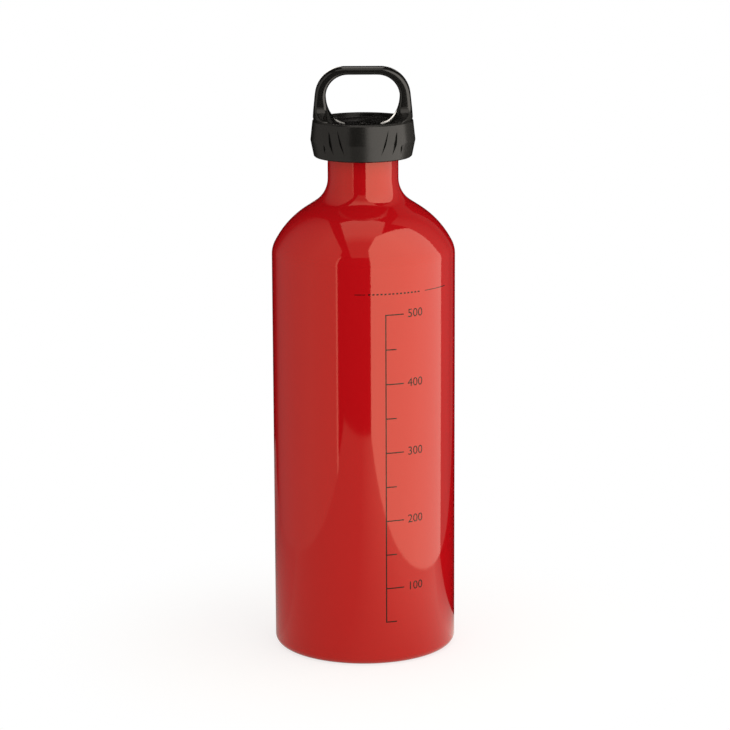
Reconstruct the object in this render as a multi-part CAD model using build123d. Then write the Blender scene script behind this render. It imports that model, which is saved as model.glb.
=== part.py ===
from build123d import *
import os
from math import acos, asin, atan2, cos, hypot, pi, radians, sin, sqrt, tan

# Camping fuel bottle with a push-and-turn cap, in millimetres.
# The origin is the middle of the base, where the bottle stands, and +Z points up to the handle.
# The handle's loop lies in the XZ plane, so the front is the side that looks along -Y.

# Bottle body, one aluminium extrusion that is necked in at the top
body_radius = 35.5
wall = 1.1
wall_height = 156.0
heel_radius = 3.0
standing_ring_width = 2.2
dome_height = 5.4
dome_thickness = 1.7
shoulder_turn_deg = 26.9
shoulder_slope_deg = 56.7
# Radii of the shoulder's corner, its long round and its hollow, as shares of the shoulder's width
shoulder_radius_shares = (0.452, 1.584, 0.5016)

# Neck and mouth
neck_radius = 13.65
neck_wall = 1.8
neck_length = 12.75
lip_round = 0.5
lip_chamfer = 0.4

# Thread that joins the plug to the neck. Its lead is the rise in one turn, and the full turns
# lift the plug's nose clear of the mouth
thread_lead = 3.5
thread_turns = 5
thread_clearance = 0.3
nose_clearance = 1.5

# Seal ring, squeezed flat between the lip and the plug's flange
seal_height = 1.7
seal_width = 2.2
seal_bore_clearance = 0.15
seal_round = 0.75

# Plug with its flange, spring pocket and drive lugs
plug_wall = 2.6
plug_floor = 1.6
plug_nose_chamfer = 1.0
relief_depth = 0.6
relief_height = 2.2
flange_radius = 16.0
flange_thickness = 1.7
pocket_radius = 8.3
pocket_depth = 4.5
vent_width = 2.4
vent_depth = 1.3
vent_count = 2

# Drive clutch: lugs on the plug, dogs under the handle cap
tooth_count = 12
tooth_height = 1.6
tooth_gap = 0.3
tooth_radial_length = 3.3
tooth_rim_gap = 0.3
tooth_base_deg = 13.0
tooth_tip_deg = 9.0

# Handle cap: dish, spigot and locating boss
dish_floor = 1.4
dish_depth = 1.75
dish_step = 0.5
dish_step_width = 3.5
dish_edge_clearance = 0.15
gate_mark_radius = 1.1
gate_mark_depth = 0.4
spigot_wall = 1.25
spigot_length = 3.9
bead_height = 0.35
bead_width = 1.2
boss_radius = 5.0
boss_length = 2.0

# Handle loop
handle_rise = 20.2
handle_bar = 2.85
handle_leg = 4.25
handle_depth = 9.2
handle_width = 36.85
handle_outer_radius = 11.5
handle_inner_radius = 8.5
handle_edge_round = 1.05
foot_half_depth = 12.6
foot_spread = 6.2
foot_round = 0.5
flare_height = 5.8
corner_steps = 12
# Heights of the leg's sections, as shares of the rise from the dish to the window's corner
leg_height_shares = (0.0, 0.17, 0.25, 0.33, 0.42, 0.51, 0.6, 0.69, 0.78, 0.87, 1.0)

# Grip skirt: bottom, crease and rim radii of its outside
skirt_bottom_radius = 18.95
skirt_crease_radius = 20.2
rim_radius = 19.4
rim_width = 1.55
rim_chamfer = 0.6
rim_inner_chamfer = 0.25
skirt_height = 14.3
skirt_crease_share = 0.45
skirt_bore_radius = 17.1
skirt_mouth_radius = 18.0
skirt_mouth_height = 2.8
skirt_edge_round = 0.4
groove_depth = 0.8

# Grip grooves on one quarter of the skirt. Each row holds the angle from the front in degrees,
# the lean in degrees, then the middle's height and the length as shares of the skirt's height,
# and the width as a share of the groove's depth
groove_rows_share = (
    (25.0, 18.0, 0.50, 0.74, 0.95),
    (37.5, 15.0, 0.46, 0.70, 1.70),
    (47.5, 3.0, 0.30, 0.27, 1.20),
)

# Snap ring that keeps the plug's flange in the cap
snap_thickness = 1.2
snap_inner_radius = 14.9
snap_seat_depth = 1.0
snap_split = 5.0
snap_clearance = 0.1

# Return spring and its washer
wire_radius = 0.55
spring_radius = 7.1
spring_turns = 3.5
washer_thickness = 0.6
washer_rim_gap = 0.6
washer_bore_clearance = 0.3
running_film = 0.05

# How far a cutter runs past the face it cuts
overrun = 1.0

# Sizes that follow from the ones above
bore_radius = neck_radius - neck_wall
plug_radius = bore_radius - thread_clearance
plug_bore_radius = plug_radius - plug_wall
relief_radius = plug_radius - relief_depth
seal_inner_radius = relief_radius + seal_bore_clearance
skirt_inner_radius = rim_radius - rim_width
dish_radius = skirt_inner_radius - dish_edge_clearance
spigot_inner_radius = dish_radius - spigot_wall
tooth_outer_radius = flange_radius - tooth_rim_gap
tooth_inner_radius = tooth_outer_radius - tooth_radial_length
washer_inner_radius = boss_radius + washer_bore_clearance
washer_outer_radius = pocket_radius + washer_rim_gap


def shoulder(radius, neck, first, second, third):
    """Edges of the shoulder from the wall's top to the neck, and the height where the neck starts."""
    turn = radians(shoulder_turn_deg)
    slope = radians(shoulder_slope_deg)
    taken = first * (1 - cos(turn)) + second * (cos(turn) - cos(slope)) + third * (1 - cos(slope))
    straight = (radius - neck - taken) / sin(slope)
    centre_a = (radius - first, wall_height)
    centre_b = (centre_a[0] + (first - second) * cos(turn), centre_a[1] + (first - second) * sin(turn))
    slope_start = (centre_b[0] + second * cos(slope), centre_b[1] + second * sin(slope))
    slope_end = (slope_start[0] - straight * sin(slope), slope_start[1] + straight * cos(slope))
    centre_c = (slope_end[0] + third * cos(slope), slope_end[1] + third * sin(slope))
    edges = [
        CenterArc(centre_a, first, 0, shoulder_turn_deg),
        CenterArc(centre_b, second, shoulder_turn_deg, shoulder_slope_deg - shoulder_turn_deg),
        Line(slope_start, slope_end),
        CenterArc(centre_c, third, 180 + shoulder_slope_deg, -shoulder_slope_deg),
    ]
    return edges, centre_c[1]


shoulder_width = body_radius - neck_radius
corner_radius, round_radius, hollow_radius = (s * shoulder_width for s in shoulder_radius_shares)
outer_shoulder, neck_z = shoulder(body_radius, neck_radius, corner_radius, round_radius, hollow_radius)
inner_shoulder, bore_z = shoulder(
    body_radius - wall, bore_radius, corner_radius - wall, round_radius - wall, hollow_radius + neck_wall
)

# Heights, from the lip up and down through the cap
lip_z = neck_z + neck_length
flange_z = lip_z + seal_height
lug_z = flange_z + flange_thickness
dog_tip_z = lug_z + tooth_height + tooth_gap
ceiling_z = dog_tip_z + tooth_height
dish_z = ceiling_z + dish_floor
rim_z = dish_z + dish_depth
skirt_z = rim_z - skirt_height
crease_z = skirt_z + skirt_crease_share * skirt_height
handle_z = rim_z + handle_rise
nose_z = lip_z + nose_clearance - thread_lead * thread_turns
pocket_z = lug_z - pocket_depth
spigot_z = ceiling_z - spigot_length
bead_z = spigot_z + spigot_length / 2
snap_z = flange_z - running_film - snap_thickness
washer_z = ceiling_z - running_film - washer_thickness


def spun(edges):
    """A solid of revolution about Z from a closed outline in radius and height."""
    return revolve(Plane.XZ * make_face(edges), Axis.Z)


def ring(inner, outer, low, high):
    """A plain ring between two radii and two heights."""
    points = [(inner, low), (outer, low), (outer, high), (inner, high), (inner, low)]
    return spun(Polyline(points).edges())


def disc(radius, low, high):
    """A plain cylinder about Z between two heights."""
    return Pos(0, 0, low) * extrude(Circle(radius), high - low)


def make_bottle_shell():
    """The drawn shell: domed base, straight wall, necked shoulder and thick mouth."""
    ring_out = body_radius - heel_radius
    ring_in = ring_out - standing_ring_width
    inner_radius = body_radius - wall
    dome_out = ThreePointArc((-ring_in, 0), (0, dome_height), (ring_in, 0))
    dome_in = ThreePointArc((-ring_in, wall), (0, dome_height + dome_thickness), (ring_in, wall))
    outside = [
        dome_out.trim(0.5, 1.0),
        Line((ring_in, 0), (ring_out, 0)),
        CenterArc((ring_out, heel_radius), heel_radius, -90, 90),
        Line((body_radius, heel_radius), (body_radius, wall_height)),
        *outer_shoulder,
        Line((neck_radius, neck_z), (neck_radius, lip_z - lip_round)),
        CenterArc((neck_radius - lip_round, lip_z - lip_round), lip_round, 0, 90),
    ]
    mouth = Polyline(
        (neck_radius - lip_round, lip_z),
        (bore_radius + lip_chamfer, lip_z),
        (bore_radius, lip_z - lip_chamfer),
        (bore_radius, bore_z),
    )
    inside = [
        *inner_shoulder,
        Line((inner_radius, wall_height), (inner_radius, heel_radius)),
        CenterArc((ring_out, heel_radius), heel_radius - wall, -90, 90),
        Line((ring_out, wall), (ring_in, wall)),
        dome_in.trim(0.5, 1.0),
        Line((0, dome_height + dome_thickness), (0, dome_height)),
    ]
    return spun([*outside, *mouth.edges(), *inside])


def make_seal_ring():
    """The O-ring as it lies squeezed between lip and flange, with flat top and bottom."""
    outer = seal_inner_radius + seal_width
    section = Rectangle(seal_width, seal_height)
    section = fillet(section.vertices(), seal_round)
    middle = (seal_inner_radius + outer) / 2
    return revolve(Plane.XZ * Pos(middle, lip_z + seal_height / 2) * section, Axis.Z)


def tooth_ring(base_z, tip_z, first_deg):
    """Tapered clutch teeth, evenly spaced, from a base height to a tip height."""
    middle = (tooth_inner_radius + tooth_outer_radius) / 2
    base_half = middle * tan(radians(tooth_base_deg / 2))
    tip_half = middle * tan(radians(tooth_tip_deg / 2))
    side = Polyline(
        (-base_half, base_z), (base_half, base_z), (tip_half, tip_z), (-tip_half, tip_z), (-base_half, base_z)
    )
    blade = extrude(Plane.XZ * make_face(side), -tooth_outer_radius)
    low, high = min(base_z, tip_z), max(base_z, tip_z)
    band = ring(tooth_inner_radius, tooth_outer_radius, low, high)
    pitch = 360 / tooth_count
    return [band & (Rot(0, 0, first_deg + pitch * i) * blade) for i in range(tooth_count)]


def make_threaded_plug():
    """The hollow stopper: shank, flange, spring pocket, drive lugs and vent grooves."""
    shank_face = Polyline(
        (0, pocket_z),
        (pocket_radius, pocket_z),
        (pocket_radius, lug_z),
        (flange_radius, lug_z),
        (flange_radius, flange_z),
        (relief_radius, flange_z),
        (relief_radius, flange_z - relief_height),
        (plug_radius, flange_z - relief_height - relief_depth),
        (plug_radius, nose_z + plug_nose_chamfer),
        (plug_radius - plug_nose_chamfer, nose_z),
        (plug_bore_radius, nose_z),
        (plug_bore_radius, pocket_z - plug_floor),
        (0, pocket_z - plug_floor),
        (0, pocket_z),
    )
    plug = spun(shank_face.edges())
    vent_top = flange_z - relief_height - relief_depth
    vent = Box(vent_depth + overrun, vent_width, vent_top - nose_z + overrun)
    vent_x = plug_radius - vent_depth + (vent_depth + overrun) / 2
    vent_middle = (vent_top + nose_z - overrun) / 2
    for i in range(vent_count):
        plug -= Rot(0, 0, 360 / vent_count * i) * Pos(vent_x, 0, vent_middle) * vent
    return plug + tooth_ring(lug_z, lug_z + tooth_height, 0)


def make_spring():
    """The return coil, ground flat where it meets the pocket's floor and the washer."""
    low, high = pocket_z, washer_z
    pitch = (high - low) / spring_turns
    path = Pos(0, 0, low) * Helix(pitch, high - low, spring_radius)
    coil = sweep(Plane(origin=path @ 0, z_dir=path % 0) * Circle(wire_radius), path=path, is_frenet=True)
    print("spring: gap between turns", round(pitch - 2 * wire_radius, 2), "mm")
    return coil & disc(spring_radius + wire_radius + overrun, low, high)


def make_thrust_washer():
    """The steel washer that the cap turns on while the spring stands still."""
    return ring(washer_inner_radius, washer_outer_radius, washer_z, washer_z + washer_thickness)


def leg_taper():
    """The lean of the leg's outer face, from its foot on the rim to the round upper corner."""
    centre_x = handle_width / 2 - handle_outer_radius
    centre_z = handle_z - handle_outer_radius
    reach = hypot(rim_radius - centre_x, rim_z - centre_z)
    return atan2(rim_z - centre_z, rim_radius - centre_x) + acos(handle_outer_radius / reach)


def leg_section(height):
    """Inner point, outer point, half depth and bow radius of the leg at one height."""
    side = handle_width / 2 - handle_leg
    corner_z = handle_z - handle_bar - handle_inner_radius
    drop = corner_z - dish_z
    spread_radius = drop / sin(2 * atan2(foot_spread, drop))
    below = corner_z - max(height, dish_z)
    inner_x = side - spread_radius + sqrt(spread_radius**2 - below**2)
    outer_x = rim_radius - (max(height, rim_z) - rim_z) * tan(leg_taper())
    if height < rim_z + foot_round:
        outer_x = rim_radius - foot_round
    flare = min(max((rim_z + flare_height - height) / flare_height, 0), 1)
    half_depth = handle_depth / 2 + (foot_half_depth - handle_depth / 2) * (1 - cos(pi * flare)) / 2
    return (inner_x, height), (outer_x, height), half_depth, outer_x


def corner_section(turn_deg):
    """The same four values in the upper corner, at one angle above the level."""
    turn = radians(turn_deg)
    outer_x = handle_width / 2 - handle_outer_radius * (1 - cos(turn))
    outer_z = handle_z - handle_outer_radius * (1 - sin(turn))
    inner_x = handle_width / 2 - handle_leg - handle_inner_radius * (1 - cos(turn))
    inner_z = handle_z - handle_bar - handle_inner_radius * (1 - sin(turn))
    return (inner_x, inner_z), (outer_x, outer_z), handle_depth / 2, rim_radius


def section_face(inner, outer, half_depth, bow):
    """A rounded section of the loop between two points, its outer side an arc of radius bow."""
    span = hypot(outer[0] - inner[0], outer[1] - inner[1])
    edge, side = handle_edge_round, half_depth - handle_edge_round
    bow_centre = span - bow
    lean = asin(side / (bow - edge))
    corner = bow_centre + (bow - edge) * cos(lean)

    def place(u, v):
        share = u / span
        return (inner[0] + share * (outer[0] - inner[0]), v, inner[1] + share * (outer[1] - inner[1]))

    def rounding(centre_u, way, first, last):
        turns = (first, (first + last) / 2, last)
        points = [place(centre_u + edge * cos(turn), way * (side + edge * sin(turn))) for turn in turns]
        return ThreePointArc(*points)

    far = bow_centre + bow * cos(lean), bow * sin(lean)
    return make_face([
        rounding(edge, -1, pi, pi / 2),
        Line(place(edge, -half_depth), place(corner, -half_depth)),
        rounding(corner, -1, pi / 2, lean),
        ThreePointArc(place(far[0], -far[1]), place(span, 0), place(*far)),
        rounding(corner, 1, lean, pi / 2),
        Line(place(corner, half_depth), place(edge, half_depth)),
        rounding(edge, 1, pi / 2, pi),
        Line(place(0, side), place(0, -side)),
    ])


def make_loop():
    """The carrying loop: wide feet that rise from the dish, slim legs and a thin bar."""
    corner_z = handle_z - handle_bar - handle_inner_radius
    heights = [dish_z - dish_floor / 2]
    heights += [dish_z + (corner_z - dish_z) * share for share in leg_height_shares]
    sections = [leg_section(height) for height in heights]
    sections += [corner_section(90 / corner_steps * (i + 1)) for i in range(corner_steps)]
    sections.append(((0, handle_z - handle_bar), (0, handle_z), handle_depth / 2, rim_radius))
    half = loft([section_face(*section) for section in sections], ruled=True)
    loop = half + mirror(half, Plane.YZ)
    return loop - ring(dish_radius, rim_radius + overrun, dish_z - dish_floor, rim_z)


def make_handle_cap():
    """The glossy top moulding: dish, loop handle, spigot with its bead, boss and drive dogs."""
    step_radius = dish_radius - dish_step_width
    section = Polyline(
        (0, ceiling_z - boss_length),
        (boss_radius, ceiling_z - boss_length),
        (boss_radius, ceiling_z),
        (spigot_inner_radius, ceiling_z),
        (spigot_inner_radius, spigot_z),
        (dish_radius, spigot_z),
        (dish_radius, bead_z - bead_width / 2),
        (dish_radius + bead_height, bead_z),
        (dish_radius, bead_z + bead_width / 2),
        (dish_radius, dish_z + dish_step),
        (step_radius, dish_z + dish_step),
        (step_radius - dish_step, dish_z),
        (gate_mark_radius, dish_z),
        (gate_mark_radius, dish_z - gate_mark_depth),
        (0, dish_z - gate_mark_depth),
        (0, ceiling_z - boss_length),
    )
    cap = spun(section.edges()) + make_loop()
    return cap + tooth_ring(ceiling_z, ceiling_z - tooth_height, 180 / tooth_count)


def make_grip_skirt():
    """The matte sleeve: conical outside with a crease, ledge, groove and wide mouth inside, grip grooves."""
    groove_radius = skirt_bore_radius + snap_seat_depth
    bead_groove = bead_height + dish_edge_clearance
    outline = Polyline(
        (skirt_mouth_radius, skirt_z),
        (skirt_bottom_radius - skirt_edge_round, skirt_z),
        (skirt_bottom_radius, skirt_z + skirt_edge_round),
        (skirt_crease_radius, crease_z),
        (rim_radius, rim_z - rim_chamfer),
        (rim_radius - rim_chamfer, rim_z),
        (skirt_inner_radius + rim_inner_chamfer, rim_z),
        (skirt_inner_radius, rim_z - rim_inner_chamfer),
        (skirt_inner_radius, bead_z + bead_width / 2 + bead_groove),
        (skirt_inner_radius + bead_groove, bead_z),
        (skirt_inner_radius, bead_z - bead_width / 2 - bead_groove),
        (skirt_inner_radius, spigot_z),
        (skirt_bore_radius, spigot_z),
        (skirt_bore_radius, snap_z + snap_thickness + snap_clearance),
        (groove_radius, snap_z + snap_thickness + snap_clearance),
        (groove_radius, snap_z - snap_clearance),
        (skirt_bore_radius, snap_z - snap_clearance),
        (skirt_bore_radius, skirt_z + skirt_mouth_height),
        (skirt_mouth_radius, skirt_z),
    )
    skirt = spun(outline.edges())
    surface = ring(skirt_crease_radius - groove_depth, skirt_crease_radius + overrun, skirt_z, rim_z)
    for side in (1, -1):
        for angle_deg, lean_deg, height_share, length_share, width_share in groove_rows_share:
            length = length_share * skirt_height
            half_width = width_share * groove_depth / 2
            lens = make_face([
                ThreePointArc((0, -length / 2), (half_width, 0), (0, length / 2)),
                ThreePointArc((0, length / 2), (-half_width, 0), (0, -length / 2)),
            ])
            middle_z = skirt_z + height_share * skirt_height
            blade = extrude(Plane.XZ * Rot(0, 0, -side * lean_deg) * lens, skirt_crease_radius + overrun)
            blade = Pos(0, 0, middle_z) * blade & surface
            for turn in (0, 180):
                skirt -= Rot(0, 0, turn + side * angle_deg) * blade
    return skirt


def make_retaining_ring():
    """The split snap ring under the plug's flange."""
    outer = skirt_bore_radius + snap_seat_depth - snap_clearance
    hoop = ring(snap_inner_radius, outer, snap_z, snap_z + snap_thickness)
    split = Pos(0, outer, snap_z + snap_thickness / 2) * Box(snap_split, outer, snap_thickness + overrun)
    return hoop - split


parts = {
    "bottle_shell": make_bottle_shell,
    "seal_ring": make_seal_ring,
    "threaded_plug": make_threaded_plug,
    "spring": make_spring,
    "thrust_washer": make_thrust_washer,
    "handle_cap": make_handle_cap,
    "grip_skirt": make_grip_skirt,
    "retaining_ring": make_retaining_ring,
}

os.makedirs("parts", exist_ok=True)
for name, make in parts.items():
    export_step(make(), f"parts/{name}.step")
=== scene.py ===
import math

import bmesh
import bpy
from mathutils import Matrix, Vector


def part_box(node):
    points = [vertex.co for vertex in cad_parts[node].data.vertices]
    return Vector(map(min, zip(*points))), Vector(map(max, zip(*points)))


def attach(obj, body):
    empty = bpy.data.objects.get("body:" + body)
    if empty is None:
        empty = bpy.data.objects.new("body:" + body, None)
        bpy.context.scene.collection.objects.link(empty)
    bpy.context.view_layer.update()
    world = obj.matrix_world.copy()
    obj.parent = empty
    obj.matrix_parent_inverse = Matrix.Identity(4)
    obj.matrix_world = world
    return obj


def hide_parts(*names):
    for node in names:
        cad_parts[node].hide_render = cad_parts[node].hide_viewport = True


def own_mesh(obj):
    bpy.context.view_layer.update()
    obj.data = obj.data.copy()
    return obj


# Camping fuel bottle with a push-and-turn cap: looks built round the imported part, in metres.
MM = 0.001
MILLILITRE = 1e-6
FULL_TURN = 2 * math.pi
BODY_STEPS, CAP_STEPS = 192, 128
FINE_MERGE, MERGE = MM / 1000, MM / 500

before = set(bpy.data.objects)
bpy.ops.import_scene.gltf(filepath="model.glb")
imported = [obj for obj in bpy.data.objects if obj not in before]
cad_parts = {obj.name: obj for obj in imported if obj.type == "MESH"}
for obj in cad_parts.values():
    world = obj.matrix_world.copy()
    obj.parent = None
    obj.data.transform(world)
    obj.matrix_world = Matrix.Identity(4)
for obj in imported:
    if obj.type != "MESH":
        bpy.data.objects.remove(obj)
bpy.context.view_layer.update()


# Outlines and meshes

def arc(centre, radius, first_deg, last_deg, steps=10):
    """Points of a round stretch of an outline, in radius and height."""
    points = []
    for i in range(steps + 1):
        turn = math.radians(first_deg + (last_deg - first_deg) * i / steps)
        points.append((centre[0] + radius * math.cos(turn), centre[1] + radius * math.sin(turn)))
    return points


def dome(rim, rise, base_z, steps=24):
    """Points of a shallow round dome, from its top on the axis out to its rim."""
    radius = (rim * rim + rise * rise) / (2 * rise)
    half_deg = math.degrees(math.asin(rim / radius))
    return [(0, base_z + rise)] + arc((0, base_z + rise - radius), radius, 90, 90 - half_deg, steps)[1:]


def spin_outline(bm, outline, steps=CAP_STEPS):
    """Spins an outline of radius and height about Z into a closed skin.

    An outline that starts on the axis also ends there. Any other one is closed first.
    """
    verts = [bm.verts.new((r, 0, z)) for r, z in outline]
    pairs = list(zip(verts, verts[1:]))
    if outline[0][0] > 0:
        pairs.append((verts[-1], verts[0]))
    edges = [bm.edges.new(pair) for pair in pairs]
    bmesh.ops.spin(bm, geom=verts + edges, cent=(0, 0, 0), axis=(0, 0, 1), angle=FULL_TURN,
                   steps=steps, use_merge=True)
    bmesh.ops.remove_doubles(bm, verts=bm.verts, dist=FINE_MERGE)


def coil(bm, section, turns, lead, steps_per_turn, first_deg=0.0):
    """Spins a closed section up a helix about Z, closed at both ends."""
    turn = Matrix.Rotation(math.radians(first_deg), 4, "Z")
    verts = [bm.verts.new(turn @ Vector((r, 0, z))) for r, z in section]
    ring = [bm.edges.new(pair) for pair in zip(verts, verts[1:] + verts[:1])]
    steps = max(2, round(steps_per_turn * turns))
    bmesh.ops.spin(bm, geom=verts + ring, cent=(0, 0, 0), axis=(0, 0, 1),
                   dvec=(0, 0, lead * turns / steps), angle=FULL_TURN * turns, steps=steps)
    bmesh.ops.holes_fill(bm, edges=[edge for edge in bm.edges if edge.is_boundary])


def piece(name, bm, finishes, body, replaces=(), sharp_deg=40, pick=None):
    """Makes a finished piece from a bmesh: outward faces, finishes, smooth shading and its body.

    With more than one finish, pick gives the number of the one that a face takes.
    """
    bmesh.ops.recalc_face_normals(bm, faces=bm.faces)
    bm.normal_update()
    for face in bm.faces:
        face.smooth = True
        face.material_index = pick(face) if pick else 0
    mesh = bpy.data.meshes.new(name)
    bm.to_mesh(mesh)
    bm.free()
    for applied in finishes:
        mesh.materials.append(applied)
    mesh.set_sharp_from_angle(angle=math.radians(sharp_deg))
    made = bpy.data.objects.new(name, mesh)
    bpy.context.scene.collection.objects.link(made)
    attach(made, body)
    if replaces:
        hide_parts(*replaces)
    return made


# Finishes

GRAIN_DETAIL, MOTTLE_DETAIL = 3, 4
MOTTLE_SCALE, SPECK_SCALE = 60, 900
ROUGHNESS_SPREAD = 0.15
DUST_COLOUR = (0.35, 0.33, 0.3, 1)


def link_nodes(tree, pairs):
    """Joins each output socket to its input socket."""
    for out, into in pairs:
        tree.links.new(out, into)


def surface_grain():
    """Shared group: fine grain height, broad mottling and a mask of settled dust."""
    group = bpy.data.node_groups.new("surface_grain", "ShaderNodeTree")
    for name, default in (("Grain scale", 2500.0), ("Dust", 0.1)):
        socket = group.interface.new_socket(name, in_out="INPUT", socket_type="NodeSocketFloat")
        socket.default_value = default
    for name in ("Height", "Mottle", "Dust mask"):
        group.interface.new_socket(name, in_out="OUTPUT", socket_type="NodeSocketFloat")
    nodes = group.nodes
    into, out = nodes.new("NodeGroupInput"), nodes.new("NodeGroupOutput")
    coords, geometry = nodes.new("ShaderNodeTexCoord"), nodes.new("ShaderNodeNewGeometry")
    grain, mottle, specks = (nodes.new("ShaderNodeTexNoise") for _ in range(3))
    grain.inputs["Detail"].default_value = GRAIN_DETAIL
    mottle.inputs["Detail"].default_value = MOTTLE_DETAIL
    mottle.inputs["Scale"].default_value = MOTTLE_SCALE
    specks.inputs["Scale"].default_value = SPECK_SCALE
    level = nodes.new("ShaderNodeSeparateXYZ")
    up, spots, dust = (nodes.new("ShaderNodeMath") for _ in range(3))
    up.operation, spots.operation, dust.operation = "MAXIMUM", "MULTIPLY", "MULTIPLY"
    up.inputs[1].default_value = 0
    link_nodes(group, [
        (coords.outputs["Object"], grain.inputs["Vector"]),
        (coords.outputs["Object"], mottle.inputs["Vector"]),
        (coords.outputs["Object"], specks.inputs["Vector"]),
        (into.outputs["Grain scale"], grain.inputs["Scale"]),
        (geometry.outputs["Normal"], level.inputs["Vector"]),
        (level.outputs["Z"], up.inputs[0]),
        (up.outputs[0], spots.inputs[0]),
        (specks.outputs["Fac"], spots.inputs[1]),
        (spots.outputs[0], dust.inputs[0]),
        (into.outputs["Dust"], dust.inputs[1]),
        (grain.outputs["Fac"], out.inputs["Height"]),
        (mottle.outputs["Fac"], out.inputs["Mottle"]),
        (dust.outputs[0], out.inputs["Dust mask"]),
    ])
    return group


GRAIN = surface_grain()


def colour_mix(nodes):
    """A Mix node for colours, given as its factor, its two colour inputs and its colour output."""
    made = nodes.new("ShaderNodeMix")
    made.data_type = "RGBA"
    return made.inputs[0], made.inputs[6], made.inputs[7], made.outputs[2]


def finish(name, colour, varied, roughness, grain_scale, grain_height, dust=0.05, **sockets):
    """A finish that varies between two colours, with a fine grain and other shader sockets as given."""
    made = bpy.data.materials.new(name)
    made.use_nodes = True
    tree = made.node_tree
    nodes = tree.nodes
    shader = nodes["Principled BSDF"]
    for socket, value in sockets.items():
        shader.inputs[socket.replace("_", " ")].default_value = value
    grain = nodes.new("ShaderNodeGroup")
    grain.node_tree = GRAIN
    grain.inputs["Grain scale"].default_value = grain_scale
    grain.inputs["Dust"].default_value = dust
    mottled, plain_in, varied_in, tint = colour_mix(nodes)
    dusted, clean_in, dust_in, dusty = colour_mix(nodes)
    plain_in.default_value = (*colour, 1)
    varied_in.default_value = (*varied, 1)
    dust_in.default_value = DUST_COLOUR
    rough = nodes.new("ShaderNodeMapRange")
    rough.inputs["To Min"].default_value = roughness * (1 - ROUGHNESS_SPREAD)
    rough.inputs["To Max"].default_value = roughness * (1 + ROUGHNESS_SPREAD)
    bump = nodes.new("ShaderNodeBump")
    bump.inputs["Distance"].default_value = grain_height
    link_nodes(tree, [
        (grain.outputs["Mottle"], mottled),
        (tint, clean_in),
        (grain.outputs["Dust mask"], dusted),
        (dusty, shader.inputs["Base Color"]),
        (grain.outputs["Mottle"], rough.inputs["Value"]),
        (rough.outputs["Result"], shader.inputs["Roughness"]),
        (grain.outputs["Height"], bump.inputs["Height"]),
        (bump.outputs["Normal"], shader.inputs["Normal"]),
    ])
    return made


RED_ENAMEL = finish("red_enamel", (0.475, 0.0044, 0.0078), (0.455, 0.004, 0.0068), 0.055, 420, 0.0015 * MM,
                    dust=0.004, Specular_IOR_Level=0.92, Specular_Tint=(1, 0.5, 0.37, 1))
BARE_ALUMINIUM = finish("bare_aluminium", (0.72, 0.72, 0.71), (0.62, 0.62, 0.61), 0.32, 700, 0.01 * MM,
                        Metallic=1.0)
GLOSS_BLACK = finish("gloss_black", (0.008, 0.0078, 0.0074), (0.01, 0.0097, 0.0092), 0.13, 600, 0.003 * MM,
                     dust=0.01)
MATTE_BLACK = finish("matte_black", (0.0065, 0.0063, 0.0058), (0.009, 0.0087, 0.008), 0.26, 5200, 0.006 * MM,
                     dust=0.01, Specular_IOR_Level=0.36)
PLUG_BLACK = finish("plug_black", (0.02, 0.02, 0.02), (0.03, 0.03, 0.03), 0.4, 2600, 0.008 * MM)
RUBBER = finish("rubber", (0.02, 0.02, 0.02), (0.032, 0.031, 0.03), 0.55, 3000, 0.008 * MM)
BRIGHT_STEEL = finish("bright_steel", (0.62, 0.61, 0.59), (0.52, 0.51, 0.5), 0.25, 3200, 0.003 * MM,
                      Metallic=1.0)
RING_BLACK = finish("ring_black", (0.045, 0.045, 0.045), (0.06, 0.06, 0.06), 0.42, 2600, 0.008 * MM)
PRINT_BLACK = finish("print_black", (0.006, 0.003, 0.003), (0.01, 0.005, 0.005), 0.12, 1500, 0.001 * MM,
                     dust=0.0, Specular_IOR_Level=0.28, Specular_Tint=(1, 0.8, 0.6, 1))


# Bottle body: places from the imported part, walls and rounds as the part has them

lip_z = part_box("bottle_shell")[1].z
body_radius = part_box("bottle_shell")[1].x
wall = 1.1 * MM
wall_height = 156 * MM
heel_radius = 3 * MM
standing_ring_width = 2.2 * MM
dome_height = 5.4 * MM
dome_thickness = 1.7 * MM
neck_radius = 13.65 * MM
neck_wall = 1.8 * MM
bore_radius = neck_radius - neck_wall
inner_radius = body_radius - wall
lip_round = 0.5 * MM
lip_chamfer = 0.4 * MM
paint_edge_deg = 60
paint_outward, paint_downward = 0.45, -0.3

# Shoulder: the slopes where its rounds meet, and their radii as shares of its width
shoulder_turn_deg, shoulder_slope_deg = 26.9, 56.7
shoulder_width = body_radius - neck_radius
corner_radius, round_radius, hollow_radius = (share * shoulder_width for share in (0.452, 1.584, 0.5016))


def shoulder(radius, neck, first, second, third):
    """Outline of the shoulder from the wall's top to the neck, from the radii of its three rounds."""
    turn, slope = math.radians(shoulder_turn_deg), math.radians(shoulder_slope_deg)
    taken = first * (1 - math.cos(turn)) + second * (math.cos(turn) - math.cos(slope))
    taken += third * (1 - math.cos(slope))
    straight = (radius - neck - taken) / math.sin(slope)
    first_x, first_z = radius - first, wall_height
    second_x = first_x + (first - second) * math.cos(turn)
    second_z = first_z + (first - second) * math.sin(turn)
    end_x = second_x + second * math.cos(slope) - straight * math.sin(slope)
    end_z = second_z + second * math.sin(slope) + straight * math.cos(slope)
    third_x, third_z = end_x + third * math.cos(slope), end_z + third * math.sin(slope)
    return [
        *arc((first_x, first_z), first, 0, shoulder_turn_deg, 12),
        *arc((second_x, second_z), second, shoulder_turn_deg, shoulder_slope_deg, 16)[1:],
        *arc((third_x, third_z), third, 180 + shoulder_slope_deg, 180, 20),
    ]


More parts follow.
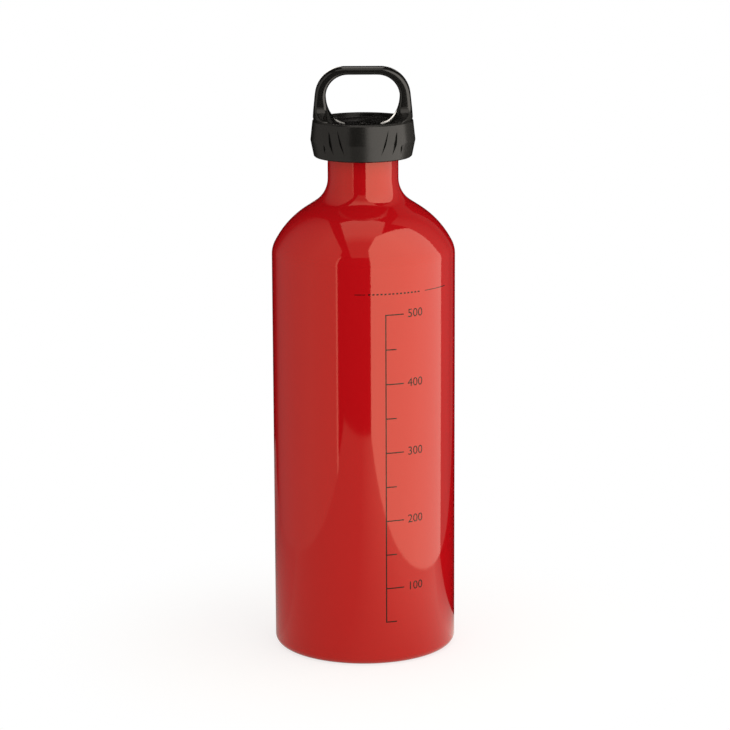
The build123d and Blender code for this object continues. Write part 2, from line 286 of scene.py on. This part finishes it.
# Thread: the ridge in the mouth and the ridge on the plug run half a lead apart
thread_lead = 3.5 * MM
ridge_root_half = 1.0 * MM
ridge_tip_half = 0.3 * MM
ridge_sunk = 0.3 * MM
mouth_ridge_height = 1.15 * MM
mouth_thread_start_z = lip_z - 9.4 * MM
mouth_thread_turns = 2.35
plug_thread_start_z = mouth_thread_start_z - 1.5 * thread_lead
mouth_thread_steps, plug_thread_steps = 72, 96


def ridge(root_radius, tip_radius, middle_z):
    """Section of a thread ridge, its root sunk in the wall that carries it."""
    sunk = root_radius + math.copysign(ridge_sunk, root_radius - tip_radius)
    return [(sunk, middle_z - ridge_root_half), (tip_radius, middle_z - ridge_tip_half),
            (tip_radius, middle_z + ridge_tip_half), (sunk, middle_z + ridge_root_half)]


def bottle_body():
    """The painted shell with its domed base, and the bare shell and thread inside it."""
    ring_out = body_radius - heel_radius
    ring_in = ring_out - standing_ring_width
    outside = [
        *dome(ring_in, dome_height, 0),
        *arc((ring_out, heel_radius), heel_radius, -90, 0, 12),
        *shoulder(body_radius, neck_radius, corner_radius, round_radius, hollow_radius),
        *arc((neck_radius - lip_round, lip_z - lip_round), lip_round, 0, paint_edge_deg, 4),
    ]
    inside = [
        *arc((neck_radius - lip_round, lip_z - lip_round), lip_round, paint_edge_deg, 90, 3),
        (bore_radius + lip_chamfer, lip_z),
        (bore_radius, lip_z - lip_chamfer),
        *reversed(shoulder(inner_radius, bore_radius, corner_radius - wall, round_radius - wall,
                           hollow_radius + neck_wall)),
        *arc((ring_out, heel_radius), heel_radius - wall, 0, -90, 8),
        *reversed(dome(ring_in, dome_height + dome_thickness - wall, wall)),
    ]
    bm = bmesh.new()
    spin_outline(bm, outside + inside[1:], BODY_STEPS)
    coil(bm, ridge(bore_radius, bore_radius - mouth_ridge_height, mouth_thread_start_z),
         mouth_thread_turns, thread_lead, mouth_thread_steps)
    return piece("bottle_body", bm, [RED_ENAMEL, BARE_ALUMINIUM], "bottle", ["bottle_shell"],
                 pick=lambda face: 0 if is_painted(face) else 1)


def is_painted(face):
    """True where a face looks outward or lies under the base. The lip's top and the inside stay bare."""
    middle = face.calc_center_median()
    outward = face.normal.dot(Vector((middle.x, middle.y, 0)).normalized())
    underneath = face.normal.z < paint_downward and middle.z < dome_height + wall
    return outward > paint_outward or underneath


bottle_body()


# Print on the body: a dotted fill line and a plain level scale, wrapped round the wall

fill_z = 146.4 * MM
fill_volume_ml, level_step_ml, level_count = 530, 100, 5
line_start_deg, dots_start_deg, dots_end_deg, line_end_deg = -5.5, 1.0, 41.0, 61.0
print_sunk, print_proud = 0.03 * MM, 0.012 * MM
line_half, dot_half_width, dot_pitch = 0.14 * MM, 0.42 * MM, 1.55 * MM
dot_half_height = 2 * line_half
scale_deg = 14.0
tick_long, tick_short, tick_half = 7 * MM, 4 * MM, 0.22 * MM
number_size, number_gap = 4.6 * MM, 1.6 * MM
print_facet = 0.8 * MM
longest_edge, edge_cuts = 1.3 * print_facet, 3


def print_bar(bm, left, right, low, high):
    """A flat bar of print in the XZ plane, cut in short lengths so that it bends well."""
    pieces = max(1, math.ceil((right - left) / print_facet))
    place = Matrix.Translation(((left + right) / 2, 0, (low + high) / 2))
    place = place @ Matrix.Diagonal((right - left, 1, high - low, 1)) @ Matrix.Rotation(math.pi / 2, 4, "X")
    bmesh.ops.create_grid(bm, x_segments=pieces, y_segments=1, size=0.5, matrix=place)


def print_number(bm, digits, left, middle_z):
    """A plain number in the XZ plane."""
    curve = bpy.data.curves.new("number", "FONT")
    curve.body, curve.size, curve.align_y = digits, number_size, "CENTER"
    made = bpy.data.objects.new("number", curve)
    bpy.context.scene.collection.objects.link(made)
    flat = bpy.data.meshes.new_from_object(made.evaluated_get(bpy.context.evaluated_depsgraph_get()))
    bpy.data.objects.remove(made)
    flat.transform(Matrix.Translation((left, 0, middle_z)) @ Matrix.Rotation(math.pi / 2, 4, "X"))
    bm.from_mesh(flat)
    bpy.data.meshes.remove(flat)


def wrapped(bm):
    """Gives flat print its thickness and bends it round the wall."""
    for _ in range(edge_cuts):
        long_edges = [edge for edge in bm.edges if edge.calc_length() > longest_edge]
        bmesh.ops.subdivide_edges(bm, edges=long_edges, cuts=1)
    bmesh.ops.triangulate(bm, faces=bm.faces)
    bmesh.ops.remove_doubles(bm, verts=bm.verts, dist=MERGE)
    grown = bmesh.ops.extrude_face_region(bm, geom=bm.faces)
    outer = {item for item in grown["geom"] if isinstance(item, bmesh.types.BMVert)}
    for vert in bm.verts:
        radius = body_radius + (print_proud if vert in outer else -print_sunk)
        turn = vert.co.x / body_radius
        vert.co = (radius * math.sin(turn), -radius * math.cos(turn), vert.co.z)


def fill_line():
    """The dotted line that marks how far the bottle may be filled, plain at both ends."""
    bm = bmesh.new()
    first, dots_from, dots_to, last = (
        math.radians(deg) * body_radius
        for deg in (line_start_deg, dots_start_deg, dots_end_deg, line_end_deg))
    print_bar(bm, first, dots_from, fill_z - line_half, fill_z + line_half)
    print_bar(bm, dots_to, last, fill_z - line_half, fill_z + line_half)
    for i in range(1, int((dots_to - dots_from) / dot_pitch)):
        middle = dots_from + dot_pitch * i
        print_bar(bm, middle - dot_half_width, middle + dot_half_width, fill_z - dot_half_height,
                  fill_z + dot_half_height)
    wrapped(bm)
    return piece("fill_line", bm, [PRINT_BLACK], "bottle", sharp_deg=30)


def level_z(volume_ml):
    """Height at which a filling of so many millilitres ends, in the straight part of the bottle."""
    rise = MILLILITRE / (math.pi * inner_radius ** 2)
    return fill_z - (fill_volume_ml - volume_ml) * rise


def level_scale():
    """Ticks at every half step and plain numbers at every whole step, at their true levels."""
    bm = bmesh.new()
    left = math.radians(scale_deg) * body_radius
    for half_step in range(1, 2 * level_count + 1):
        level = level_z(half_step * level_step_ml / 2)
        length = tick_short if half_step % 2 else tick_long
        print_bar(bm, left, left + length, level - tick_half, level + tick_half)
    lowest, highest = level_z(level_step_ml / 2), level_z(level_count * level_step_ml)
    print_bar(bm, left - 2 * tick_half, left, lowest - tick_half, highest + tick_half)
    for step in range(1, level_count + 1):
        volume_ml = step * level_step_ml
        print_number(bm, str(volume_ml), left + tick_long + number_gap, level_z(volume_ml))
    wrapped(bm)
    return piece("level_scale", bm, [PRINT_BLACK], "bottle", sharp_deg=30)


fill_line()
level_scale()


# Plug: core, thread ridge, flange, spring pocket and drive lugs

nose_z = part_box("threaded_plug")[0].z
flange_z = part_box("seal_ring")[1].z
flange_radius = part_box("threaded_plug")[1].x
flange_thickness = 1.7 * MM
lug_z = flange_z + flange_thickness
tooth_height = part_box("threaded_plug")[1].z - lug_z
pocket_radius, pocket_depth = 8.3 * MM, 4.5 * MM
pocket_z = lug_z - pocket_depth
plug_radius, plug_core_radius, plug_bore_radius = 11.55 * MM, 10.35 * MM, 8.95 * MM
relief_radius, relief_height = 10.95 * MM, 2.4 * MM
plug_floor = 1.6 * MM
plug_round = 0.5 * MM
vent_half_deg = 6.4
plug_half_turns = 6

# Clutch teeth: twelve lugs on the plug mesh with twelve dogs under the cap
tooth_count, tooth_base_deg, tooth_tip_deg = 12, 13.0, 9.0
tooth_outer_radius, tooth_length, tooth_round = 15.7 * MM, 3.3 * MM, 0.22 * MM
tooth_sunk = 0.3 * MM


def teeth(bm, base_z, tip_z, first_deg):
    """Tapered clutch teeth with rounded edges, sunk a little in the face that carries them."""
    middle = tooth_outer_radius - tooth_length / 2
    base = 2 * middle * math.tan(math.radians(tooth_base_deg / 2))
    narrowing = math.tan(math.radians(tooth_tip_deg / 2)) / math.tan(math.radians(tooth_base_deg / 2))
    sunk_z = base_z - math.copysign(tooth_sunk, tip_z - base_z)
    verts = []
    for i in range(tooth_count):
        made = bmesh.ops.create_cube(bm, size=1)["verts"]
        for vert in made:
            at_tip = vert.co.z > 0
            y = vert.co.y * base * (narrowing if at_tip else 1)
            vert.co = (middle + vert.co.x * tooth_length, y, tip_z if at_tip else sunk_z)
        turn = Matrix.Rotation(math.radians(first_deg + 360 / tooth_count * i), 4, "Z")
        bmesh.ops.transform(bm, matrix=turn, verts=made)
        verts += made
    edges = {edge for vert in verts for edge in vert.link_edges}
    bmesh.ops.bevel(bm, geom=list(edges), offset=tooth_round, segments=2, profile=0.5, affect="EDGES",
                    material=-1)


def stopper():
    """The plug as a moulding, its thread broken into half turns by the two vents."""
    relief_z = flange_z - relief_height
    outline = [
        (0, pocket_z),
        (pocket_radius, pocket_z),
        *arc((pocket_radius + plug_round, lug_z - plug_round), plug_round, 180, 90, 4),
        *arc((flange_radius - plug_round, lug_z - plug_round), plug_round, 90, 0, 5),
        *arc((flange_radius - plug_round, flange_z + plug_round), plug_round, 0, -90, 5),
        (relief_radius, flange_z),
        (relief_radius, relief_z + plug_round),
        (plug_core_radius, relief_z),
        *arc((plug_core_radius - plug_round, nose_z + plug_round), plug_round, 0, -90, 5),
        (plug_bore_radius, nose_z),
        (plug_bore_radius, pocket_z - plug_floor),
        (0, pocket_z - plug_floor),
    ]
    bm = bmesh.new()
    spin_outline(bm, outline)
    for half in range(plug_half_turns):
        first_deg = 180 * half + vent_half_deg
        middle_z = plug_thread_start_z + thread_lead * first_deg / 360
        coil(bm, ridge(plug_core_radius, plug_radius, middle_z), 0.5 - vent_half_deg / 180, thread_lead,
             plug_thread_steps, first_deg)
    teeth(bm, lug_z, lug_z + tooth_height, 0)
    return piece("stopper", bm, [PLUG_BLACK], "plug", ["threaded_plug"], sharp_deg=35)


stopper()


# Return spring

wire_radius, wire_sides = 0.55 * MM, 14
spring_turns, spring_steps = 3.5, 60


def return_spring():
    """The coil between the pocket's floor and the washer, both ends ground flat."""
    low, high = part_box("spring")
    radius = high.x - wire_radius
    height = high.z - low.z
    section = [(radius + r, low.z + z) for r, z in arc((0, 0), wire_radius, 0, 360, wire_sides)[:-1]]
    bm = bmesh.new()
    coil(bm, section, spring_turns, height / spring_turns, spring_steps)
    for plane_z, way in ((low.z, -1), (high.z, 1)):
        bmesh.ops.bisect_plane(bm, geom=[*bm.verts, *bm.edges, *bm.faces], plane_co=(0, 0, plane_z),
                               plane_no=(0, 0, way), clear_outer=True)
        bmesh.ops.holes_fill(bm, edges=[edge for edge in bm.edges if edge.is_boundary])
    made = piece("return_spring", bm, [BRIGHT_STEEL], "plug", ["spring"])
    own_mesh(made)
    return made


return_spring()


# Handle cap: the glossy moulding with its dish, loop and dogs

spigot_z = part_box("handle_cap")[0].z
handle_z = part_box("handle_cap")[1].z
rim_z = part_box("grip_skirt")[1].z
rim_radius = 19.4 * MM
dish_radius = 17.7 * MM
dish_z = rim_z - 1.75 * MM
dish_floor = 1.4 * MM
ceiling_z = dish_z - dish_floor
dish_step, dish_step_width, dish_round, flat_margin = 0.5 * MM, 3.5 * MM, 0.2 * MM, 0.3 * MM
gate_mark_radius, gate_mark_depth = 1.1 * MM, 0.4 * MM
spigot_wall = 1.25 * MM
bead_rise, bead_height, bead_half = 1.95 * MM, 0.35 * MM, 0.6 * MM
boss_radius, boss_length = 5.0 * MM, 2.0 * MM
handle_bar, handle_leg, handle_depth, handle_width = 2.85 * MM, 4.25 * MM, 9.2 * MM, 36.85 * MM
handle_outer_radius, handle_inner_radius = 11.5 * MM, 8.5 * MM
handle_edge_round = 1.05 * MM
foot_half_depth, foot_spread, foot_round, flare_height = 12.6 * MM, 7.8 * MM, 0.5 * MM, 5.8 * MM

# Feet like hooves: the power of their flare, the round of their lower edge, their inner corners' growth
hoof_power, hoof_round, hoof_turn = 1.9, 0.8 * MM, (4.0 * MM, 8.5 * MM)

# Rings that the half loop is grown from, closer together towards the foot
leg_rings, corner_rings, bar_rings = 22, 14, 3
leg_share_power = 1.25
loop_subdivisions = 2

# Height at which the window's sides turn into its round upper corners
corner_z = handle_z - handle_bar - handle_inner_radius


def leg_taper():
    """The lean of the leg's outer face, from its foot on the rim to the round upper corner."""
    centre_x = handle_width / 2 - handle_outer_radius
    centre_z = handle_z - handle_outer_radius
    reach = math.hypot(rim_radius - centre_x, rim_z - centre_z)
    return math.atan2(rim_z - centre_z, rim_radius - centre_x) + math.acos(handle_outer_radius / reach)


def leg_section(height):
    """Inner point, outer point, half depth, bow radius and share of flare of the leg at one height."""
    side = handle_width / 2 - handle_leg
    below = (corner_z - max(height, dish_z)) / (corner_z - dish_z)
    inner_x = side - foot_spread * (1 - math.sqrt(1 - below ** 2))
    outer_x = rim_radius - (max(height, rim_z) - rim_z) * math.tan(leg_taper())
    if height < rim_z + foot_round:
        sunk = min(1, (rim_z + foot_round - height) / foot_round)
        outer_x -= foot_round * (1 - math.sqrt(1 - sunk ** 2))
    flare = min(max((rim_z + flare_height - height) / flare_height, 0), 1)
    half_depth = handle_depth / 2 + (foot_half_depth - handle_depth / 2) * flare ** hoof_power
    tucked = min(max((rim_z + hoof_round - height) / hoof_round, 0), 1)
    half_depth -= hoof_round * (1 - math.sqrt(1 - tucked ** 2))
    return (inner_x, height), (outer_x, height), half_depth, outer_x, flare


def corner_section(turn_deg):
    """The same five values in the upper corner, at one angle above the level."""
    turn = math.radians(turn_deg)
    outer_x = handle_width / 2 - handle_outer_radius * (1 - math.cos(turn))
    outer_z = handle_z - handle_outer_radius * (1 - math.sin(turn))
    inner_x = handle_width / 2 - handle_leg - handle_inner_radius * (1 - math.cos(turn))
    inner_z = handle_z - handle_bar - handle_inner_radius * (1 - math.sin(turn))
    return (inner_x, inner_z), (outer_x, outer_z), handle_depth / 2, rim_radius, 0


def section_points(inner, outer, half_depth, bow, flare):
    """Points round one section of the loop: an arc outside, and inner corners that widen with the flare."""
    span = math.hypot(outer[0] - inner[0], outer[1] - inner[1])
    edge, side = handle_edge_round, half_depth - handle_edge_round
    lean = math.degrees(math.asin(side / (bow - edge)))
    corner = span - bow + (bow - edge) * math.cos(math.radians(lean))
    turn_u, turn_v = (edge + extra * flare ** hoof_power for extra in hoof_turn)
    half = [
        *arc((span - bow, 0), bow, 0, lean, 3),
        *arc((corner, side), edge, lean, 90, 4)[1:],
        ((corner + turn_u) / 2, half_depth),
        *((turn_u * (1 + u), half_depth + turn_v * (v - 1)) for u, v in arc((0, 0), 1, 90, 180, 4)),
        (0, (half_depth - turn_v) / 2),
    ]
    flat = half + [(0, 0)] + [(u, -v) for u, v in reversed(half[1:])]
    across = ((outer[0] - inner[0]) / span, (outer[1] - inner[1]) / span)
    return [Vector((inner[0] + u * across[0], v, inner[1] + u * across[1])) for u, v in flat]


def loop(bm):
    """Half the loop grown ring by ring from its foot to the middle of the bar, then mirrored."""
    foot_z = dish_z - dish_floor / 2
    sections = []
    for i in range(leg_rings):
        share = (i / (leg_rings - 1)) ** leg_share_power
        sections.append(leg_section(foot_z + (corner_z - foot_z) * share))
    sections += [corner_section(90 * (i + 1) / corner_rings) for i in range(corner_rings)]
    straight = handle_width / 2 - handle_outer_radius
    for i in range(bar_rings):
        x = straight * (1 - (i + 1) / bar_rings)
        sections.append(((x, handle_z - handle_bar), (x, handle_z), handle_depth / 2, rim_radius, 0))
    verts = [bm.verts.new(point) for point in section_points(*sections[0])]
    bm.faces.new(verts)
    for section in sections[1:]:
        ring = [bm.edges.get(pair) or bm.edges.new(pair) for pair in zip(verts, verts[1:] + verts[:1])]
        grown = bmesh.ops.extrude_edge_only(bm, edges=ring)["geom"]
        fresh = {item for item in grown if isinstance(item, bmesh.types.BMVert)}
        verts = [next(edge.other_vert(vert) for edge in vert.link_edges if edge.other_vert(vert) in fresh)
                 for vert in verts]
        for vert, point in zip(verts, section_points(*section)):
            vert.co = point
    bmesh.ops.mirror(bm, geom=[*bm.verts, *bm.edges, *bm.faces], axis="X", merge_dist=MERGE)


def handle_loop():
    """The carrying loop as one moulding, both feet sunk in the dish's floor."""
    bm = bmesh.new()
    loop(bm)
    made = piece("handle_loop", bm, [GLOSS_BLACK], "cap", sharp_deg=60)
    rounded = made.modifiers.new("rounded", "SUBSURF")
    rounded.levels = rounded.render_levels = loop_subdivisions
    return made


def dish():
    """The dish with its spigot and snap bead below and the drive dogs under its floor."""
    step_radius = dish_radius - dish_step_width
    spigot_inner = dish_radius - spigot_wall
    bead_z = spigot_z + bead_rise
    outline = [
        (0, ceiling_z - boss_length),
        (boss_radius, ceiling_z - boss_length),
        (boss_radius, ceiling_z),
        (spigot_inner, ceiling_z),
        (spigot_inner, spigot_z),
        (dish_radius, spigot_z),
        (dish_radius, bead_z - bead_half),
        (dish_radius + bead_height, bead_z),
        (dish_radius, bead_z + bead_half),
        *arc((dish_radius - dish_round, dish_z + dish_step - dish_round), dish_round, 0, 90, 4),
        (dish_radius - dish_round - flat_margin, dish_z + dish_step),
        (step_radius + dish_round + flat_margin, dish_z + dish_step),
        *arc((step_radius + dish_round, dish_z + dish_step - dish_round), dish_round, 90, 135, 3),
        *arc((step_radius - dish_step - dish_round, dish_z + dish_round), dish_round, -45, -90, 3),
        (step_radius - dish_step - dish_round - flat_margin, dish_z),
        (gate_mark_radius + dish_round + flat_margin, dish_z),
        *arc((gate_mark_radius + dish_round, dish_z - dish_round), dish_round, 90, 180, 3),
        (gate_mark_radius, dish_z - gate_mark_depth),
        (0, dish_z - gate_mark_depth),
    ]
    bm = bmesh.new()
    spin_outline(bm, outline)
    teeth(bm, ceiling_z, ceiling_z - tooth_height, 180 / tooth_count)
    return piece("dish", bm, [GLOSS_BLACK], "cap", ["handle_cap"], sharp_deg=35)


handle_loop()
dish()


# CAD pieces that show as they are

def dress(node, finish_made):
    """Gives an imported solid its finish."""
    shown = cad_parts[node]
    shown.data.materials.clear()
    shown.data.materials.append(finish_made)


dress("seal_ring", RUBBER)
dress("thrust_washer", BRIGHT_STEEL)
dress("grip_skirt", MATTE_BLACK)
dress("retaining_ring", RING_BLACK)


# Stage: white floor and a small light tent round the table

SOFT_WHITE = (1.0, 0.94, 0.86, 1)
FLOOR_COLOUR = (0.9, 0.9, 0.9, 1)
FLOOR_NEAR_COLOUR = (0.3, 0.3, 0.3, 1)
floor_half, floor_shadow_reach, floor_near_glow = 6, (0.055, 0.14), 0.72
room_fill, room_gloss = 0.9, 0.002

# Light tent: plans and sizes in metres, and each cut as a point and the direction that it takes away
table_drop, far_wall_y, roof_z = 0.2 * MM, 0.6, 0.62
right_plan, left_plan = ((0.055, -0.375), (0.148, 0.034)), ((-0.16, -0.246), (-0.16, 0.2))
right_size, left_size = (0.42, 0.62), (0.48, 0.46)
right_cut, left_cut = ((0.205, 0.62), (0.26, 0.2)), ((0.356, 0.433), (0.776, 0.631))
edge_plan, edge_size = ((-0.16, -0.268), (-0.16, -0.246)), (0.02, 0.4)
back_plan, back_size = ((0.148, 0.034), (0.2, 0.3)), (0.3, 0.5)


def stage_sheet(name, material, low, high, matrix=Matrix(), cut=None, seen=("glossy", "diffuse")):
    """A flat stage piece between two corners of its own XY plane; seen names the rays that meet it."""
    bm = bmesh.new()
    bmesh.ops.create_grid(bm, x_segments=1, y_segments=1, size=0.5,
                          matrix=Matrix.Translation(((low[0] + high[0]) / 2, (low[1] + high[1]) / 2, 0))
                          @ Matrix.Diagonal((high[0] - low[0], high[1] - low[1], 1, 1)))
    if cut:
        bmesh.ops.bisect_plane(bm, geom=[*bm.verts, *bm.edges, *bm.faces], plane_co=(*cut[0], 0),
                               plane_no=(*cut[1], 0), clear_outer=True)
    mesh = bpy.data.meshes.new(name)
    bm.to_mesh(mesh)
    bm.free()
    mesh.materials.append(material)
    made = bpy.data.objects.new(name, mesh)
    made.matrix_world = matrix
    bpy.context.scene.collection.objects.link(made)
    made.visible_camera = "camera" in seen
    made.visible_glossy = "glossy" in seen
    made.visible_diffuse = "diffuse" in seen
    made.visible_shadow = False
    return made


def glow(name, level, far_level=None, span=(0, 1), axis="X"):
    """Plain light; with a far level it changes along one axis of its sheet, between the ends of span."""
    made = bpy.data.materials.new(name)
    made.use_nodes = True
    tree = made.node_tree
    tree.nodes.clear()
    out, light = tree.nodes.new("ShaderNodeOutputMaterial"), tree.nodes.new("ShaderNodeEmission")
    light.inputs["Color"].default_value = SOFT_WHITE
    light.inputs["Strength"].default_value = level
    link_nodes(tree, [(light.outputs[0], out.inputs["Surface"])])
    if far_level is not None:
        coords, split, ramp = (tree.nodes.new(kind) for kind in (
            "ShaderNodeTexCoord", "ShaderNodeSeparateXYZ", "ShaderNodeMapRange"))
        for socket, value in (("From Min", span[0]), ("From Max", span[1]), ("To Min", level),
                              ("To Max", far_level)):
            ramp.inputs[socket].default_value = value
        link_nodes(tree, [
            (coords.outputs["Object"], split.inputs[0]),
            (split.outputs[axis], ramp.inputs["Value"]),
            (ramp.outputs["Result"], light.inputs["Strength"]),
        ])
    return made


def upright(first, second):
    """Places a sheet's own X from one point of the ground plan towards another, and its own Y upwards."""
    along = Vector((second[0] - first[0], second[1] - first[1], 0)).normalized()
    up = Vector((0, 0, 1))
    return Matrix.Translation((*first, 0)) @ Matrix((along, up, along.cross(up))).transposed().to_4x4()


def white_floor():
    """A floor that shows white to the camera and keeps the bottle's shadow round its foot."""
    made = bpy.data.materials.new("floor_white")
    made.use_nodes = True
    tree = made.node_tree
    tree.nodes.clear()
    out, seen, ground = (tree.nodes.new(kind) for kind in (
        "ShaderNodeOutputMaterial", "ShaderNodeMixShader", "ShaderNodeMixShader"))
    path, plain, near, near_glow, near_both, white = (tree.nodes.new(kind) for kind in (
        "ShaderNodeLightPath", "ShaderNodeBsdfDiffuse", "ShaderNodeBsdfDiffuse", "ShaderNodeEmission",
        "ShaderNodeAddShader", "ShaderNodeEmission"))
    coords, reach, ramp = (tree.nodes.new(kind) for kind in (
        "ShaderNodeTexCoord", "ShaderNodeVectorMath", "ShaderNodeMapRange"))
    reach.operation = "LENGTH"
    ramp.interpolation_type = "SMOOTHSTEP"
    ramp.inputs["From Min"].default_value, ramp.inputs["From Max"].default_value = floor_shadow_reach
    plain.inputs["Color"].default_value = FLOOR_COLOUR
    near.inputs["Color"].default_value = FLOOR_NEAR_COLOUR
    near_glow.inputs["Strength"].default_value = floor_near_glow
    white.inputs["Strength"].default_value = 1.0
    link_nodes(tree, [
        (coords.outputs["Object"], reach.inputs[0]),
        (reach.outputs["Value"], ramp.inputs["Value"]),
        (ramp.outputs["Result"], ground.inputs[0]),
        (near.outputs[0], near_both.inputs[0]),
        (near_glow.outputs[0], near_both.inputs[1]),
        (near_both.outputs[0], ground.inputs[1]),
        (white.outputs[0], ground.inputs[2]),
        (path.outputs["Is Camera Ray"], seen.inputs[0]),
        (plain.outputs[0], seen.inputs[1]),
        (ground.outputs[0], seen.inputs[2]),
        (seen.outputs[0], out.inputs["Surface"]),
    ])
    stage_sheet("floor", made, (-floor_half, -floor_half), (floor_half, floor_half),
                seen=("camera", "diffuse"))


def light_tent():
    """The table, side panels, walls and roof that the gloss mirrors, and the light that they give."""
    table = Matrix.Translation((0, 0, -table_drop))
    for side, low, high, levels in (
            ("front", (-0.17, -0.38), (0.16, 0), (0.5, 1.25, (-0.02, 0.1))),
            ("left", (-0.17, 0), (0, 0.3), (0.42, 0.15, (0, 0.12), "Y")),
            ("right", (0, 0), (0.16, 0.03), (1.0, 0.45, (0, 0.03), "Y"))):
        stage_sheet(f"table_{side}", glow(f"table_{side}_glow", *levels), low, high, table, seen=("glossy",))
    for name, levels, plan, size, cut, seen in (
            ("panel_right", (2.85, 2.15, (0.32, 0.42)), right_plan, right_size, right_cut, "glossy"),
            ("light_right", (1.43,), right_plan, right_size, right_cut, "diffuse"),
            ("panel_left", (0.7, 0.02, (0.17, 0.42)), left_plan, left_size, left_cut, "glossy"),
            ("light_left", (0.8,), left_plan, left_size, left_cut, "diffuse"),
            ("panel_left_edge", (1.8,), edge_plan, edge_size, None, "glossy"),
            ("back_wall", (0.36, 0.12, (0, 0.12)), back_plan, back_size, None, "glossy")):
        stage_sheet(name, glow(f"{name}_glow", *levels), (0, 0), size, upright(*plan), cut, seen=(seen,))
    stage_sheet("roof", glow("roof_glow", 0.45, 1.15, (-0.26, -0.14), "Y"), (-0.16, -0.54), (0.15, 0.05),
                Matrix.Translation((0, 0, roof_z)))
    behind = Matrix.Translation((0, far_wall_y, 0)) @ Matrix.Rotation(math.pi / 2, 4, "X")
    for side, low, high, level in (("left", (-0.1, 0.175), (-0.025, 0.286), 2.2),
                                   ("right", (0.025, 0.235), (0.1, 0.286), 0.9),
                                   ("top", (-0.045, 0.4), (0.045, 0.95), 0.45)):
        stage_sheet(f"far_{side}", glow(f"far_{side}_glow", level), low, high, behind, seen=("glossy",))


def room():
    """White to the camera, a soft white fill for diffuse light, and dark to the gloss."""
    world = bpy.data.worlds.new("room")
    bpy.context.scene.world = world
    world.use_nodes = True
    nodes = world.node_tree.nodes
    nodes.clear()
    out, path = nodes.new("ShaderNodeOutputWorld"), nodes.new("ShaderNodeLightPath")
    fill, gloss, white = (nodes.new("ShaderNodeBackground") for _ in range(3))
    first, second = nodes.new("ShaderNodeMixShader"), nodes.new("ShaderNodeMixShader")
    for shader, level in ((fill, room_fill), (gloss, room_gloss), (white, 1.0)):
        shader.inputs["Color"].default_value = (1, 1, 1, 1)
        shader.inputs["Strength"].default_value = level
    link_nodes(world.node_tree, [
        (path.outputs["Is Glossy Ray"], first.inputs[0]),
        (fill.outputs[0], first.inputs[1]),
        (gloss.outputs[0], first.inputs[2]),
        (path.outputs["Is Camera Ray"], second.inputs[0]),
        (first.outputs[0], second.inputs[1]),
        (white.outputs[0], second.inputs[2]),
        (second.outputs[0], out.inputs["Surface"]),
    ])


white_floor()
light_tent()
room()


# Camera: in front of the bottle, a little above it and tilted down, with a long lens

camera_aside, camera_distance, camera_height = 0.43 * MM, 1143.9 * MM, 367.35 * MM
camera_pitch_deg, camera_roll_deg = 12.61, -0.25
sensor_width_mm, lens_mm = 36, 147.9
near_clip, far_clip = 0.01, 50


def photo_camera():
    """The camera that sees the bottle from the photograph's angle."""
    data = bpy.data.cameras.new("camera")
    data.sensor_width, data.lens = sensor_width_mm, lens_mm
    data.clip_start, data.clip_end = near_clip, far_clip
    camera = bpy.data.objects.new("camera", data)
    camera.matrix_world = (Matrix.Translation((camera_aside, -camera_distance, camera_height))
                           @ Matrix.Rotation(math.radians(90 - camera_pitch_deg), 4, "X")
                           @ Matrix.Rotation(math.radians(camera_roll_deg), 4, "Z"))
    bpy.context.scene.collection.objects.link(camera)
    bpy.context.scene.camera = camera


photo_camera()
bpy.context.scene.view_settings.view_transform = "Standard"
